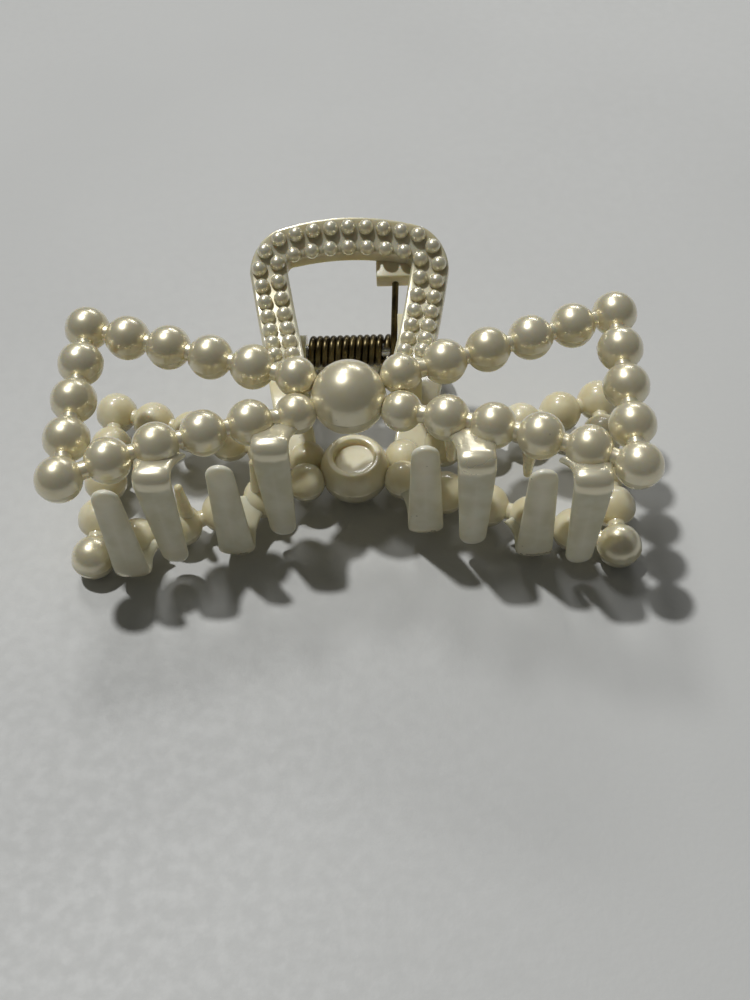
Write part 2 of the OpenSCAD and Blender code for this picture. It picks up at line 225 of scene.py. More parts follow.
# ---------------------------------------------------------------------------
# Bow loops. Each side of a jaw is a closed string of large imitation pearls
# joined by short necks, moulded in one piece of cream plastic. The outer half
# is lacquered with pearl, and the mould's parting line runs round the middle.
BOW_LENGTH = 102.4
BOW_END_HEIGHT = 33.5
BOW_RISE = 12.0
BOW_SETBACK = 20.6
PEARL_R = 4.0
INNER_PEARL_R = 3.6
INNER_PEARL_GAP = 2.55
KNOT_R = 6.5
FAR_WAIST = 4.0
NEAR_WAIST = 2.6
NEAR_CURVE = 0.85
NEAR_DIP = 2.0
NEAR_DIP_FROM = 0.4
NEAR_DIP_CURVE = 1.6
EDGE_STEPS = 5
COLUMN_STEPS = 4
NECK_R = 1.55
NECK_FLARE = 0.75
NECK_REACH = 0.3
NECK_RINGS = 12
NECK_SIDES = 28
SEAM_STEP = 0.05
SEAM_RIDGE = 0.05
SEAM_WIDTH = 1.6
PEARL_SIDES = 56
PEARL_RINGS = 17
BARE_BAND = 0.30
SEAM_ANGLES = (5.0, 2.6, 1.3, 0.0, -1.3, -2.6, -5.0)
COATED = (0.85, 0.795, 0.60)
COATED_DEEP = (0.79, 0.725, 0.51)
BARE = (0.79, 0.74, 0.54)
BARE_DEEP = (0.72, 0.65, 0.42)
BARE_ROUGH = 0.34
DIRT_SHADE = 0.35
LACQUER_FADE = 0.07
LACQUER_RAGGED = 0.12
SKIN_DEPTH = 0.0001

corner_x = BOW_LENGTH / 2 - PEARL_R
corner_y = BOW_END_HEIGHT / 2
inner_x = KNOT_R + INNER_PEARL_GAP


def edge_x(step):
    """Distance from the middle of a pearl in an edge of the bow, counted from its corner."""
    return corner_x - (corner_x - inner_x) * step / EDGE_STEPS


def far_pearl(step):
    return Vector((
        edge_x(step),
        -BOW_SETBACK + corner_y - (corner_y - FAR_WAIST) * step / EDGE_STEPS,
        BOW_RISE,
    ))


def near_pearl(step):
    share = step / EDGE_STEPS
    dip = (max(0.0, share - NEAR_DIP_FROM) / (1 - NEAR_DIP_FROM)) ** NEAR_DIP_CURVE
    return Vector((
        edge_x(step),
        -BOW_SETBACK - corner_y + (corner_y - NEAR_WAIST) * share ** NEAR_CURVE,
        BOW_RISE - NEAR_DIP * dip,
    ))


def column_pearl(step):
    return Vector((
        corner_x, -BOW_SETBACK + corner_y - BOW_END_HEIGHT * step / COLUMN_STEPS, BOW_RISE
    ))


def near_edge_at(x):
    """Where the near edge of the bow runs, at a distance from the middle."""
    step = (corner_x - abs(x)) / (corner_x - inner_x) * EDGE_STEPS
    return near_pearl(min(EDGE_STEPS, max(0.0, step)))


def skin(bm, rings):
    """Faces between each ring of points and the next. A ring of one point closes an end."""
    for low, high in zip(rings, rings[1:]):
        for k in range(max(len(low), len(high))):
            corners = []
            for ring, step in ((low, k), (low, k + 1), (high, k + 1), (high, k)):
                point = ring[step % len(ring)]
                if point not in corners:
                    corners.append(point)
            bm.faces.new(corners)


def cap(bm, rings):
    """Closes the two ends of a skin with a face each, where they aren't points."""
    for ring in (rings[0], rings[-1]):
        if len(ring) > 2:
            bm.faces.new(ring)


def turned(bm, profile, place, sides):
    """A shape turned on a lathe about Z, from (radius, height) pairs."""
    rings = []
    for radius, height in profile:
        if radius < 1e-6:
            rings.append([bm.verts.new(place @ Vector((0, 0, height)))])
            continue
        ring = []
        for k in range(sides):
            angle = 2 * math.pi * k / sides
            point = Vector((radius * math.cos(angle), radius * math.sin(angle), height))
            ring.append(bm.verts.new(place @ point))
        rings.append(ring)
    skin(bm, rings)
    cap(bm, rings)


def pearl_profile(radius, cut=-90.0):
    """A pearl with the fine ridge and step of the parting line round its middle."""
    upper = [90.0 - (90.0 - SEAM_ANGLES[0]) * k / PEARL_RINGS for k in range(PEARL_RINGS)]
    angles = upper + list(SEAM_ANGLES) + [-a for a in reversed(upper)]
    profile = []
    for angle in angles:
        if angle < cut:
            break
        a = math.radians(angle)
        r = radius + SEAM_RIDGE * math.exp(-((angle / SEAM_WIDTH) ** 2))
        if angle < 0:
            r -= SEAM_STEP
        profile.append((r * math.cos(a) if abs(angle) < 89.9 else 0.0, r * math.sin(a)))
    return profile


def shell(build):
    """A mesh in the mould's axes, in millimetres. build(bm) draws it."""
    bm = bmesh.new()
    build(bm)
    bmesh.ops.recalc_face_normals(bm, faces=bm.faces)
    mesh = bpy.data.meshes.new("shell")
    bm.to_mesh(mesh)
    bm.free()
    return mesh


def fused(meshes, operation="UNION"):
    """Closed meshes joined into one skin, or all but the first cut from the first."""
    base = bpy.data.objects.new("base", meshes[0])
    scene.collection.objects.link(base)
    for mesh in meshes[1:]:
        other = bpy.data.objects.new("other", mesh)
        scene.collection.objects.link(other)
        modifier = base.modifiers.new("join", "BOOLEAN")
        modifier.operation = operation
        modifier.solver = "MANIFOLD"
        modifier.object = other
        graph = bpy.context.evaluated_depsgraph_get()
        result = bpy.data.meshes.new_from_object(base.evaluated_get(graph))
        base.modifiers.clear()
        base.data = result
        bpy.data.objects.remove(other)
        bpy.data.meshes.remove(mesh)
    bpy.data.objects.remove(base)
    return result


def points_of(mesh):
    co = np.zeros(len(mesh.vertices) * 3)
    mesh.vertices.foreach_get("co", co)
    return co.reshape(-1, 3)


def paint(mesh, name, values):
    """Stores one number for each point, which the materials read by name."""
    attribute = mesh.attributes.get(name) or mesh.attributes.new(name, "FLOAT", "POINT")
    attribute.data.foreach_set("value", np.asarray(values, np.float32))


def piece(node, mesh, place, body, material, crease=32.0):
    """A finished piece that rides on its body and stands for a node of the same name."""
    mesh.name = node + "_skin"
    mesh.transform(place)
    mesh.shade_smooth()
    mesh.set_sharp_from_angle(angle=math.radians(crease))
    mesh.materials.clear()
    mesh.materials.append(material)
    obj = bpy.data.objects.new(node + "_skin", mesh)
    scene.collection.objects.link(obj)
    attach(obj, body)
    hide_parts(node)
    return obj


def bow_string():
    """Centres and radii of the pearls of one side, from the knot round and back to it."""
    far = [far_pearl(step) for step in range(EDGE_STEPS, -1, -1)]
    column = [column_pearl(step) for step in range(1, COLUMN_STEPS)]
    near = [near_pearl(step) for step in range(EDGE_STEPS + 1)]
    centres = far + column + near
    radii = [PEARL_R] * len(centres)
    radii[0] = radii[-1] = INNER_PEARL_R
    return centres, radii


def bow_loop_mesh():
    centres, radii = bow_string()
    last = len(centres) - 1

    def some_pearls(bm, chosen):
        for k in chosen:
            turned(bm, pearl_profile(radii[k]), Matrix.Translation(centres[k]), PEARL_SIDES)

    def necks(bm):
        for a, b in zip(centres, centres[1:]):
            run = b - a
            long = run.length
            profile = []
            for k in range(NECK_RINGS + 1):
                share = k / NECK_RINGS
                z = long * (NECK_REACH + (1 - 2 * NECK_REACH) * share)
                profile.append((NECK_R + NECK_FLARE * abs(2 * share - 1) ** 3, z))
            place = Matrix.Translation(a) @ run.to_track_quat("Z", "Y").to_matrix().to_4x4()
            turned(bm, profile, place, NECK_SIDES)

    even = range(0, last, 2)
    odd = [k for k in range(last + 1) if k not in even]
    mesh = fused([
        shell(lambda bm: some_pearls(bm, even)),
        shell(necks),
        shell(lambda bm: some_pearls(bm, odd)),
    ])
    co = points_of(mesh)
    gaps = np.stack([np.linalg.norm(co - np.array(c), axis=1) for c in centres])
    nearest = gaps.argmin(0)
    middle = np.array([c.z for c in centres])[nearest]
    size = np.array(radii)[nearest]
    outward = (co[:, 2] - middle) / size
    # The end pearl in front stands free, so its inside catches lacquer too.
    free = (nearest == EDGE_STEPS + COLUMN_STEPS) & (outward < 0)
    outward[free] = -outward[free] - BARE_BAND
    paint(mesh, "outward", outward)
    return mesh


def new_group(name, inputs, outputs):
    """An empty shader node group with number inputs and the named outputs."""
    group = bpy.data.node_groups.new(name, "ShaderNodeTree")
    for label, value in inputs.items():
        socket = group.interface.new_socket(label, in_out="INPUT", socket_type="NodeSocketFloat")
        socket.default_value = value
    for label in outputs:
        group.interface.new_socket(label, in_out="OUTPUT", socket_type="NodeSocketFloat")
    source = group.nodes.new("NodeGroupInput")
    sink = group.nodes.new("NodeGroupOutput")
    return group, source, sink


# Fine orange peel and broad clouding of moulded plastic, with a few specks of
# dust and pits.
moulded_skin, source, sink = new_group(
    "moulded_skin", {"Peel": 1400.0, "Specks": 0.5}, ("Height", "Cloud", "Speck")
)
where = add(moulded_skin, "ShaderNodeTexCoord").outputs["Object"]
peel = noise(moulded_skin, source.outputs["Peel"], 3.0, where)
broad = noise(moulded_skin, 260.0, 2.0, where)
speck = add(
    moulded_skin, "ShaderNodeTexVoronoi", {"Vector": where, "Scale": 520.0, "Randomness": 1.0}
)
dot = ramp(moulded_skin, speck.outputs["Distance"], 0.05, 0.11, 1.0, 0.0)
chosen = ramp(moulded_skin, noise(moulded_skin, 330.0, 1.0, where), 0.60, 0.66)
dot = maths(moulded_skin, "MULTIPLY", dot, chosen)
dot = maths(moulded_skin, "MULTIPLY", dot, source.outputs["Specks"])
height = maths(moulded_skin, "SUBTRACT", peel, maths(moulded_skin, "MULTIPLY", dot, 0.6))
feed(moulded_skin, sink, "Height", height)
feed(moulded_skin, sink, "Cloud", ramp(moulded_skin, broad, 0.3, 0.7))
feed(moulded_skin, sink, "Speck", dot)

# Where sprayed lacquer ends: a painted number from outside to inside, with a
# ragged edge.
lacquer_edge, source, sink = new_group(
    "lacquer_edge", {"Painted": 1.0, "From": -0.15, "To": 0.0, "Ragged": 0.1}, ("Mask",)
)
ripple = maths(lacquer_edge, "SUBTRACT", noise(lacquer_edge, 700.0, 3.0), 0.5)
ripple = maths(lacquer_edge, "MULTIPLY", ripple, source.outputs["Ragged"])
painted = maths(lacquer_edge, "ADD", source.outputs["Painted"], ripple)
mask = ramp(lacquer_edge, painted, source.outputs["From"], source.outputs["To"])
feed(lacquer_edge, sink, "Mask", mask)


def painted_value(tree, name):
    return add(tree, "ShaderNodeAttribute", attribute_name=name).outputs["Fac"]


def group_node(tree, group, **inputs):
    node = add(tree, "ShaderNodeGroup", node_tree=group)
    for key, value in inputs.items():
        feed(tree, node, key, value)
    return node


def glow_inside(shader, weight, radius, scale):
    """Lets light in under the surface, as cream plastic does."""
    shader.inputs["Subsurface Weight"].default_value = weight
    shader.inputs["Subsurface Radius"].default_value = radius
    shader.inputs["Subsurface Scale"].default_value = scale


def pearl_finish(name, coated, coated_deep, edge, peel, shine):
    """Cream plastic with pearl lacquer where the painted number outward is above edge."""
    material, tree, shader = new_material(name)
    surface = group_node(tree, moulded_skin, Peel=peel, Specks=0.35)
    cloud = surface.outputs["Cloud"]
    lacquer = group_node(
        tree, lacquer_edge, Painted=painted_value(tree, "outward"), Ragged=LACQUER_RAGGED,
        From=edge - LACQUER_FADE, To=edge + LACQUER_FADE,
    ).outputs["Mask"]
    colour = mixed(
        tree, lacquer, mixed(tree, cloud, BARE, BARE_DEEP), mixed(tree, cloud, coated, coated_deep)
    )
    dirt = [c * DIRT_SHADE for c in BARE_DEEP]
    feed(tree, shader, "Base Color", mixed(tree, surface.outputs["Speck"], colour, dirt))
    feed(tree, shader, "Metallic", maths(tree, "MULTIPLY", lacquer, shine))
    rough = maths(tree, "SUBTRACT", BARE_ROUGH, maths(tree, "MULTIPLY", lacquer, 0.05))
    feed(tree, shader, "Roughness", maths(tree, "ADD", rough, maths(tree, "MULTIPLY", cloud, 0.05)))
    feed(tree, shader, "Coat Weight", ramp(tree, lacquer, 0.0, 1.0, 0.6, 1.0))
    shader.inputs["Coat Roughness"].default_value = 0.10
    glow_inside(shader, 0.6, (1.0, 0.8, 0.42), 0.0022)
    roughen(tree, shader, surface.outputs["Height"], 0.10, SKIN_DEPTH)
    return material


pearl_material = pearl_finish(
    "pearl_lacquer", COATED, COATED_DEEP, edge=-0.06, peel=1400.0, shine=0.52
)
one_loop = bow_loop_mesh()
mirror_loop = one_loop.copy()
mirror_loop.transform(Matrix.Scale(-1, 4, Vector((1, 0, 0))))
mirror_loop.flip_normals()
# The lower jaw is turned over, so its left loop is drawn on the right.
for jaw in JAWS:
    drawn = {"upper": (mirror_loop, one_loop), "lower": (one_loop, mirror_loop)}[jaw]
    for side, mesh in zip(("left", "right"), drawn):
        piece(
            f"{jaw}_bow_{side}", mesh.copy(), placed[jaw], f"{jaw}_jaw",
            pearl_material,
        )


# ---------------------------------------------------------------------------
# Knot pearls. The large pearl in the middle of each bow, cut flat at the back
# with a shallow round recess inside a rim, where the mould's pin pushed it out.
KNOT_AT = Vector((0.0, -BOW_SETBACK + 0.5, BOW_RISE - 1.6))
KNOT_BACK = 4.1
KNOT_RECESS = 1.4
KNOT_RIM = 1.25
KNOT_SIDES = 80
RIM_ROUND = 0.35
RIM_STEPS = 5
RIM_FROM = 35
RIM_INSET = 0.1
WELL_ROUND = 0.25
WELL_TAPER = 0.1
WELL_CROWN = 0.06


def knot_mesh():
    back_r = math.sqrt(KNOT_R ** 2 - KNOT_BACK ** 2)
    well_r = back_r - KNOT_RIM
    lowest = -math.degrees(math.asin(KNOT_BACK / KNOT_R))
    profile = pearl_profile(KNOT_R, lowest + 4)
    rim = []
    for k in range(RIM_STEPS):
        a = math.radians(-RIM_FROM - (90 - RIM_FROM) * k / (RIM_STEPS - 1))
        rim.append((
            back_r - 0.7 * RIM_ROUND + RIM_ROUND * math.cos(a) - RIM_INSET,
            -KNOT_BACK + RIM_ROUND + RIM_ROUND * math.sin(a),
        ))
    for k in range(1, RIM_STEPS + 1):
        a = math.radians(-90 - 90 * k / RIM_STEPS)
        rim.append((
            well_r + RIM_ROUND + RIM_ROUND * math.cos(a),
            -KNOT_BACK + RIM_ROUND + RIM_ROUND * math.sin(a),
        ))
    floor_z = -KNOT_BACK + KNOT_RECESS
    wall_r = well_r - WELL_TAPER
    well = [(well_r - 0.4 * WELL_TAPER, floor_z - 2 * WELL_ROUND), (wall_r, floor_z - WELL_ROUND)]
    for k in range(1, RIM_STEPS):
        a = math.radians(90 * k / (RIM_STEPS - 1))
        well.append((
            wall_r - WELL_ROUND * (1 - math.cos(a)),
            floor_z - WELL_ROUND + WELL_ROUND * math.sin(a),
        ))
    for across, crown in ((0.6, 0.03), (0.3, 0.05), (0.0, WELL_CROWN)):
        well.append((well_r * across, floor_z + crown))
    profile += rim + well
    mesh = shell(lambda bm: turned(bm, profile, Matrix.Translation(KNOT_AT), KNOT_SIDES))
    co = points_of(mesh)
    paint(mesh, "outward", (co[:, 2] - KNOT_AT.z) / KNOT_R)
    return mesh


for jaw in JAWS:
    piece(
        f"{jaw}_knot_pearl", knot_mesh(), placed[jaw], f"{jaw}_jaw", pearl_material,
        crease=50.0,
    )


# ---------------------------------------------------------------------------
# Teeth. Four flat curved fingers leave the front edge of each bow, bend and
# run past the other jaw. The lacquer reaches only as far as the bend; below
# it the plastic is milky and satin. Their roots spread out along the pearls.
TOOTH_X = (
    -edge_x(2), -(edge_x(4) + edge_x(5)) / 2, (edge_x(3) + edge_x(4)) / 2 + 0.7, edge_x(1)
)
TOOTH_OUT = (7.4, 8.4, 9.4, 7.1)
TOOTH_LEAN = (0.1, 0.0, 0.8, 0.7)
TOOTH_INSET = 1.5
TOOTH_SINK = 1.0
TOOTH_CREST = 0.3
TOOTH_ROOT = (6.4, 2.3)
TOOTH_TIP = (4.8, 1.8)
TOOTH_FLARE = 3.6
TOOTH_BEND_R = 1.4
TOOTH_REACH = 12.3
TOOTH_SIDES = 40
TOOTH_CORNER = 0.72
TOOTH_CROWN = 0.8
BEND_CORNER = 0.96
BEND_CORNER_RUN = 0.4
FLARE_CURVE = 2.6
BURIED_TAPER = 1.6
TIP_LONG = 2.6
TIP_THIN = 0.3
INNER_NARROW = 0.3
BURIED_RINGS = 4
ROOT_RINGS = 12
BEND_RINGS = 12
STRAIGHT_RINGS = 16
TIP_RINGS = 8
MILKY = (0.74, 0.72, 0.57)
MILKY_DEEP = (0.66, 0.63, 0.46)
# Painted light: the lighter colour of the satin part where the plastic thins towards the tip and
# light comes through.
THIN_PLASTIC_LIGHT = (0.88, 0.86, 0.74)
TOOTH_DIRT = (0.22, 0.2, 0.13)
TOOTH_SHINE = 0.55
TOOTH_ROUGH = 0.50
TIP_GLOSS = 0.22


def flat_ring(bm, centre, along, width, thick, corner=TOOTH_CORNER):
    """A ring across a path in the YZ plane, rounder inside. A corner of 1 is an oval."""
    out = Vector((0, -along.z, along.y))
    ring = []
    for k in range(TOOTH_SIDES):
        a = 2 * math.pi * k / TOOTH_SIDES
        across = math.copysign(abs(math.cos(a)) ** corner, math.cos(a)) * width / 2
        across *= 1 - INNER_NARROW * max(0.0, math.sin(a)) ** 2
        proud = math.copysign(abs(math.sin(a)) ** TOOTH_CROWN, math.sin(a)) * thick / 2
        ring.append(bm.verts.new(centre + Vector((across, 0, 0)) + out * proud))
    return ring


def tooth_mesh(i):
    """One tooth, painted with how far along it a point is: 0 to 1 is the bend, 2 to 3 the tip."""
    x = TOOTH_X[i]
    edge = near_edge_at(x)
    out_y = edge.y - TOOTH_OUT[i]
    root = Vector((x, edge.y - TOOTH_INSET, edge.z - TOOTH_SINK))
    bend = Vector((x, out_y + TOOTH_BEND_R, BOW_RISE + TOOTH_CREST - TOOTH_BEND_R))
    rise = root - bend
    leave = math.atan2(rise.z, rise.y) + math.acos(TOOTH_BEND_R / rise.length)
    crest = bend + TOOTH_BEND_R * Vector((0, math.cos(leave), math.sin(leave)))
    tip = Vector((x, out_y + TOOTH_LEAN[i], -TOOTH_REACH))
    start = Vector((x, out_y, bend.z))
    down = (tip - start).normalized()
    straight = (tip - start).length - TIP_LONG
    root_w, root_t = TOOTH_ROOT
    tip_w, tip_t = TOOTH_TIP
    rounder = BEND_CORNER - TOOTH_CORNER
    bm = bmesh.new()
    rings, reached = [], []
    # The root starts inside the pearls, where its flare narrows again.
    outward = (crest - root).normalized()
    for k in range(-BURIED_RINGS, ROOT_RINGS):
        share = k / ROOT_RINGS
        width = root_w + TOOTH_FLARE * (1 - max(0.0, share)) ** FLARE_CURVE
        width *= 1 + BURIED_TAPER * min(0.0, share)
        rings.append(flat_ring(bm, root.lerp(crest, share), outward, width, root_t))
        reached.append(-1 + share)
    turn = math.atan2(down.z, down.y) + 2 * math.pi
    for k in range(BEND_RINGS + 1):
        a = leave + (turn - math.pi / 2 - leave) * k / BEND_RINGS
        centre = bend + TOOTH_BEND_R * Vector((0, math.cos(a), math.sin(a)))
        along = Vector((0, math.cos(a + math.pi / 2), math.sin(a + math.pi / 2)))
        corner = TOOTH_CORNER + rounder * math.sin(math.pi / 2 * k / BEND_RINGS)
        rings.append(flat_ring(bm, centre, along, root_w, root_t, corner))
        reached.append(k / BEND_RINGS)
    for k in range(1, STRAIGHT_RINGS + 1):
        share = k / STRAIGHT_RINGS
        rings.append(flat_ring(
            bm, start + down * straight * share, down,
            root_w + (tip_w - root_w) * share, root_t + (tip_t - root_t) * share,
            TOOTH_CORNER + rounder * max(0.0, 1 - share / BEND_CORNER_RUN) ** 2,
        ))
        reached.append(1 + share)
    for k in range(1, TIP_RINGS + 1):
        a = math.radians(88 * k / TIP_RINGS)
        rings.append(flat_ring(
            bm, start + down * (straight + TIP_LONG * math.sin(a)), down,
            tip_w * math.cos(a) ** 0.8, tip_t * (TIP_THIN + (1 - TIP_THIN) * math.cos(a)),
        ))
        reached.append(2 + k / TIP_RINGS)
    skin(bm, rings)
    cap(bm, rings)
    bm.verts.index_update()
    how_far = {v.index: r for ring, r in zip(rings, reached) for v in ring}
    bmesh.ops.recalc_face_normals(bm, faces=bm.faces)
    mesh = bpy.data.meshes.new("tooth")
    bm.to_mesh(mesh)
    bm.free()
    paint(mesh, "reached", [how_far[k] for k in range(len(mesh.vertices))])
    co = points_of(mesh)
    paint(mesh, "across", (co[:, 0] - x) / (tip_w / 2))
    normals = np.array([v.normal for v in mesh.vertices])
    paint(mesh, "faces_out", normals[:, 2] - 0.4 * normals[:, 1])
    return mesh


tooth_material, tree, shader = new_material("milky_tooth")
surface = group_node(tree, moulded_skin, Peel=900.0, Specks=0.8)
cloud = surface.outputs["Cloud"]
reached = painted_value(tree, "reached")
on_top = group_node(
    tree, lacquer_edge, Painted=painted_value(tree, "faces_out"), Ragged=0.15, From=-0.12, To=0.0
)
bend_end = group_node(tree, lacquer_edge, Painted=reached, Ragged=0.08, From=1.04, To=0.98)
lacquer = maths(tree, "MULTIPLY", on_top.outputs["Mask"], bend_end.outputs["Mask"])
satin = mixed(tree, cloud, MILKY, MILKY_DEEP)
# Painted light: a lighter V down the middle of the satin part, widening to the tip, where light
# comes through the thinner plastic.
thin_light_wedge = maths(tree, "SUBTRACT", reached, maths(tree, "ABSOLUTE", painted_value(tree, "across")))
satin = mixed(tree, ramp(tree, thin_light_wedge, 0.9, 1.9, 0.0, 0.5), satin, THIN_PLASTIC_LIGHT)
colour = mixed(tree, lacquer, satin, COATED)
feed(tree, shader, "Base Color", mixed(tree, surface.outputs["Speck"], colour, TOOTH_DIRT))
feed(tree, shader, "Metallic", maths(tree, "MULTIPLY", lacquer, TOOTH_SHINE))
tip_gloss = ramp(tree, reached, 2.05, 2.3, 0.0, TIP_GLOSS)
rough = maths(tree, "SUBTRACT", TOOTH_ROUGH, maths(tree, "MULTIPLY", lacquer, 0.24))
rough = maths(tree, "SUBTRACT", rough, tip_gloss)
feed(tree, shader, "Roughness", maths(tree, "ADD", rough, maths(tree, "MULTIPLY", cloud, 0.06)))
coat = maths(tree, "ADD", maths(tree, "MULTIPLY", lacquer, 0.8), tip_gloss, clamp=True)
feed(tree, shader, "Coat Weight", coat)
shader.inputs["Coat Roughness"].default_value = 0.08
glow_inside(shader, 0.6, (1.0, 0.85, 0.6), 0.002)
roughen(tree, shader, surface.outputs["Height"], 0.18, SKIN_DEPTH)

for jaw in JAWS:
    for i in range(len(TOOTH_X)):
        # The lower jaw is turned over, so its teeth count the other way.
        number = i + 1 if jaw == "upper" else len(TOOTH_X) - i
        piece(
            f"{jaw}_tooth_{number}", tooth_mesh(i), placed[jaw], f"{jaw}_jaw",
            tooth_material, crease=60.0,
        )


# ---------------------------------------------------------------------------
# Inner prongs. Two short round pegs behind the teeth of each jaw, moulded on
# and left bare, with ball ends.
PRONG_X = (-edge_x(4) - 0.8, edge_x(2) - 1.4)
PRONG_LONG = 11.0
PRONG_ROOT_R = 1.7
PRONG_TIP_R = 0.75
PRONG_FLARE = 0.2
PRONG_FLARE_FROM = 0.6
PRONG_RINGS = 12
PRONG_TIP_RINGS = 8
PRONG_SIDES = 32
BARE_DIRT = (0.25, 0.2, 0.1)

bare_material, tree, shader = new_material("bare_plastic")
surface = group_node(tree, moulded_skin, Peel=1100.0, Specks=0.4)
cloud = surface.outputs["Cloud"]
colour = mixed(tree, cloud, BARE, BARE_DEEP)
feed(tree, shader, "Base Color", mixed(tree, surface.outputs["Speck"], colour, BARE_DIRT))
feed(tree, shader, "Roughness", ramp(tree, cloud, 0.0, 1.0, 0.24, 0.33))
shader.inputs["Coat Weight"].default_value = 0.6
shader.inputs["Coat Roughness"].default_value = 0.1
glow_inside(shader, 0.55, (1.0, 0.75, 0.35), 0.0018)
roughen(tree, shader, surface.outputs["Height"], 0.15, SKIN_DEPTH)


def prongs(bm):
    for x in PRONG_X:
        root = near_edge_at(x)
        profile = [(0.0, -PRONG_TIP_R)]
        for k in range(1, PRONG_TIP_RINGS + 1):
            a = math.radians(-90 + 90 * k / PRONG_TIP_RINGS)
            profile.append((PRONG_TIP_R * math.cos(a), PRONG_TIP_R * math.sin(a)))
        for k in range(1, PRONG_RINGS + 1):
            share = k / PRONG_RINGS
            flare = max(0.0, share - PRONG_FLARE_FROM) / (1 - PRONG_FLARE_FROM)
            taper = PRONG_TIP_R + (PRONG_ROOT_R - PRONG_TIP_R) * share
            profile.append((taper + PRONG_FLARE * flare ** 2, PRONG_LONG * share))
        place = Matrix.Translation(root - Vector((0, 0, PRONG_LONG)))
        turned(bm, profile, place, PRONG_SIDES)


for jaw in JAWS:
    piece(
        f"{jaw}_inner_prongs", shell(prongs), placed[jaw], f"{jaw}_jaw", bare_material,
    )


# ---------------------------------------------------------------------------
# Finger loops. A flat arch of plastic that curls away from the other jaw, so
# the two can be squeezed. Its edges are rounded and it is thinly lacquered.
LOOP_WIDTH = 36.5
LOOP_BASE_WIDTH = 28.2
BAR_W = 7.0
BAR_END_W = 5.2
BAR_T = 2.4
LOOP_REACH = 15.3
LOOP_CORNER_R = 7.0
LOOP_TOP_R = 60.0
LOOP_FOOT = 5 - BOW_SETBACK
LOOP_END_Y = LOOP_REACH - LOOP_TOP_R
LOOP_CORNER_X = LOOP_WIDTH / 2 - LOOP_CORNER_R
LOOP_SHOULDER = LOOP_END_Y + math.sqrt((LOOP_TOP_R - LOOP_CORNER_R) ** 2 - LOOP_CORNER_X ** 2)
LOOP_CORNER_TURN = math.degrees(math.atan2(LOOP_SHOULDER - LOOP_END_Y, LOOP_CORNER_X))
WINDOW_CORNER_R = 1.4
WINDOW_CORNER_TURN = (5, 80)
LEG_STEPS = 44
CORNER_STEPS = 14
TOP_STEPS = 24
CURL_R = 31.6
CURL_Y = -5.9
CURL_Z = BOW_RISE - 0.5 + CURL_R
EDGE_ROUND = 0.55
ROUND_STEPS = 4
BAR_STEPS = 12
HOLLOW_EDGE = 0.35
CREVICE_WIDTH = 0.7
# Painted shade: the colour the hollow face darkens to in the crevices round each seed pearl.
CREVICE_SHADE = (0.46, 0.40, 0.22)
LOOP_COATED = (0.80, 0.76, 0.58)
LOOP_COATED_DEEP = (0.72, 0.66, 0.46)
SEED_R = 1.4
SEED_LIFT = 0.45
SEED_EDGE = 1.85
SEED_ROW_GAP = 3.05
SEED_FOOT = 3.8
SEEDS = (25, 21)


def curled(x, y, depth=0.0):
    """A point of the flat arch pressed onto the curl, depth below its hollow face."""
    radius = CURL_R + depth
    return Vector((x, y, CURL_Z - math.sqrt(radius ** 2 - (y - CURL_Y) ** 2)))


def leg_x(y, inset):
    share = (y - LOOP_FOOT) / (LOOP_SHOULDER - LOOP_FOOT)
    return LOOP_BASE_WIDTH / 2 - inset + (LOOP_WIDTH - LOOP_BASE_WIDTH) / 2 * share


def top_y(x, inset):
    return LOOP_END_Y + math.sqrt((LOOP_TOP_R - inset) ** 2 - x * x)


def bend_arc(cx, cy, radius, first, last, steps):
    """Points round a corner of the arch."""
    points = []
    for k in range(steps + 1):
        a = math.radians(first + (last - first) * k / steps)
        points.append((cx + radius * math.cos(a), cy + radius * math.sin(a)))
    return points


def arch_side(outer):
    """Right half of the arch's outer edge or window edge, from its foot to the middle."""
    if outer:
        stop = LOOP_SHOULDER
        arc = bend_arc(LOOP_CORNER_X, stop, LOOP_CORNER_R, 0, LOOP_CORNER_TURN, CORNER_STEPS)
        inset, end_inset = 0.0, 0.0
    else:
        r = WINDOW_CORNER_R
        stop = top_y(leg_x(LOOP_SHOULDER, BAR_W) - r, BAR_END_W) - r
        arc = bend_arc(leg_x(stop, BAR_W) - r, stop, r, *WINDOW_CORNER_TURN, CORNER_STEPS)
        inset, end_inset = BAR_W, BAR_END_W
    legs = []
    for k in range(LEG_STEPS):
        y = LOOP_FOOT + (stop - LOOP_FOOT) * k / LEG_STEPS
        legs.append((leg_x(y, inset), y))
    end_x = arc[-1][0]
    top = []
    for k in range(1, TOP_STEPS + 1):
        x = end_x * (1 - k / TOP_STEPS)
        top.append((x, top_y(x, end_inset)))
    return legs + arc + top


def both_sides(half):
    return half + [(-x, y) for x, y in reversed(half[:-1])]


def row_path(inset):
    """The line that a row of seed pearls follows, at a distance in from the outer edge."""
    r = LOOP_CORNER_R - inset
    half = [(leg_x(LOOP_FOOT + SEED_FOOT, inset), LOOP_FOOT + SEED_FOOT)]
    half += bend_arc(LOOP_CORNER_X, LOOP_SHOULDER, r, 0, LOOP_CORNER_TURN, 12)
    for k in range(7, -1, -1):
        x = LOOP_CORNER_X * k / 8
        half.append((x, top_y(x, inset)))
    return both_sides(half)


def even_points(path, count):
    """count points at equal steps along a path of straight pieces."""
    path = np.array(path)
    steps = np.linalg.norm(np.diff(path, axis=0), axis=1)
    run = np.concatenate([[0], np.cumsum(steps)])
    at = np.linspace(0, run[-1], count)
    return np.stack([np.interp(at, run, path[:, 0]), np.interp(at, run, path[:, 1])], axis=1)


seed_places = np.concatenate([
    even_points(row_path(SEED_EDGE + row * SEED_ROW_GAP), count) for row, count in enumerate(SEEDS)
])


